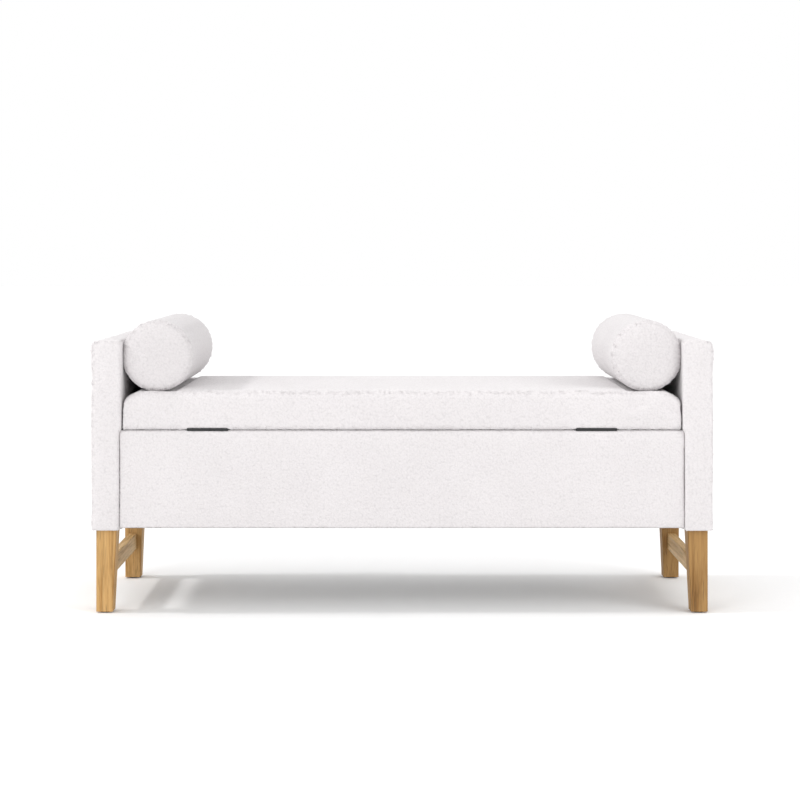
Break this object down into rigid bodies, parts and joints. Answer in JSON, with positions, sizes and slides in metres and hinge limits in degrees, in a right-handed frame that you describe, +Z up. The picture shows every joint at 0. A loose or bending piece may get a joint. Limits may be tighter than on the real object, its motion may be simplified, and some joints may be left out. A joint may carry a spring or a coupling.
{
  "type": "storage bench",
  "caption": "Upholstered storage bench with padded arms, a hinged padded seat lid on lid stays, loose bolsters and tapered wooden legs joined by stretchers.",
  "frame": {"origin": "on the floor, under the middle of the bench", "axes": "+Z up, +X towards the right-hand arm seen from the front, front at -Y"},
  "size_m": [1.3, 0.43, 0.6149],
  "materials": {
    "boucle": "matte",
    "upholstery_foam": "matte",
    "dust_cloth": "matte",
    "oak": "satin",
    "plywood": "matte",
    "pine": "matte",
    "zinc_steel": "satin",
    "brass_insert": "satin",
    "black_rubber": "matte",
    "glide_plastic": "matte"
  },
  "bodies": {
    "box": {"arm_bolts": "zinc_steel", "arm_cover_left": "boucle", "arm_cover_right": "boucle", "arm_foam_left": "upholstery_foam", "arm_foam_right": "upholstery_foam", "arm_frame_left": "pine", "arm_frame_right": "pine", "arm_inner_skin_left": "plywood", "arm_inner_skin_right": "plywood", "arm_outer_skin_left": "plywood", "arm_outer_skin_right": "plywood", "bottom_board": "plywood", "bottom_dust_cover": "dust_cloth", "corner_brackets": "zinc_steel", "front_board": "plywood", "front_cleat": "pine", "front_cover": "boucle", "front_foam": "upholstery_foam", "hanger_bolts": "zinc_steel", "hinge_box_leaf_left": "zinc_steel", "hinge_box_leaf_right": "zinc_steel", "hinge_box_screws": "zinc_steel", "hinge_pins": "zinc_steel", "leg_front_left": "oak", "leg_front_right": "oak", "leg_glides": "glide_plastic", "leg_rear_left": "oak", "leg_rear_right": "oak", "lid_bumpers": "black_rubber", "panel_screws": "zinc_steel", "rear_board": "plywood", "rear_cleat": "pine", "rear_cover": "boucle", "rear_foam": "upholstery_foam", "stay_base_left": "zinc_steel", "stay_base_right": "zinc_steel", "stay_base_screws": "zinc_steel", "stretcher_left": "oak", "stretcher_right": "oak", "threaded_inserts": "brass_insert"},
    "lid": {"hinge_lid_leaf_left": "zinc_steel", "hinge_lid_leaf_right": "zinc_steel", "hinge_lid_screws": "zinc_steel", "lid_board": "plywood", "lid_cover": "boucle", "lid_dust_cover": "dust_cloth", "lid_foam": "upholstery_foam", "stay_lid_bracket_left": "zinc_steel", "stay_lid_bracket_right": "zinc_steel", "stay_lid_screws": "zinc_steel"},
    "stay_arm_left": {"stay_arm_left": "zinc_steel", "stay_knee_rivet_left": "zinc_steel"},
    "stay_link_left": {"stay_link_left": "zinc_steel"},
    "bolster_left": {"bolster_core_left": "upholstery_foam", "bolster_cover_left": "boucle"},
    "stay_arm_right": {"stay_arm_right": "zinc_steel", "stay_knee_rivet_right": "zinc_steel"},
    "stay_link_right": {"stay_link_right": "zinc_steel"},
    "bolster_right": {"bolster_core_right": "upholstery_foam", "bolster_cover_right": "boucle"}
  },
  "joints": [
    {"name": "lid_hinge", "type": "hinge", "parent": "box", "child": "lid", "pos_m": [0, 0.2105, 0.384], "axis": [-1, 0, 0], "range_deg": [0, 85]},
    {"name": "stay_arm_left_pivot", "type": "hinge", "parent": "box", "child": "stay_arm_left", "pos_m": [-0.58175, 0.17, 0.34], "axis": [-1, 0, 0], "range_deg": [0, 85]},
    {"name": "stay_link_left_pivot", "type": "hinge", "parent": "lid", "child": "stay_link_left", "pos_m": [-0.57875, 0.0305, 0.372], "axis": [-1, 0, 0], "range_deg": [-85, 0]},
    {"name": "bolster_left_lift", "type": "slide", "parent": "lid", "child": "bolster_left", "axis": [0, 0, 1], "range_m": [0, 0.25]},
    {"name": "stay_arm_right_pivot", "type": "hinge", "parent": "box", "child": "stay_arm_right", "pos_m": [0.58175, 0.17, 0.34], "axis": [-1, 0, 0], "range_deg": [0, 85]},
    {"name": "stay_link_right_pivot", "type": "hinge", "parent": "lid", "child": "stay_link_right", "pos_m": [0.57875, 0.0305, 0.372], "axis": [-1, 0, 0], "range_deg": [-85, 0]},
    {"name": "bolster_right_lift", "type": "slide", "parent": "lid", "child": "bolster_right", "axis": [0, 0, 1], "range_m": [0, 0.25]}
  ],
  "couplings": [
    {"joint": "stay_arm_left_pivot", "follows": "lid_hinge", "ratio": 1},
    {"joint": "stay_link_left_pivot", "follows": "lid_hinge", "ratio": -1},
    {"joint": "stay_arm_right_pivot", "follows": "lid_hinge", "ratio": 1},
    {"joint": "stay_link_right_pivot", "follows": "lid_hinge", "ratio": -1}
  ]
}
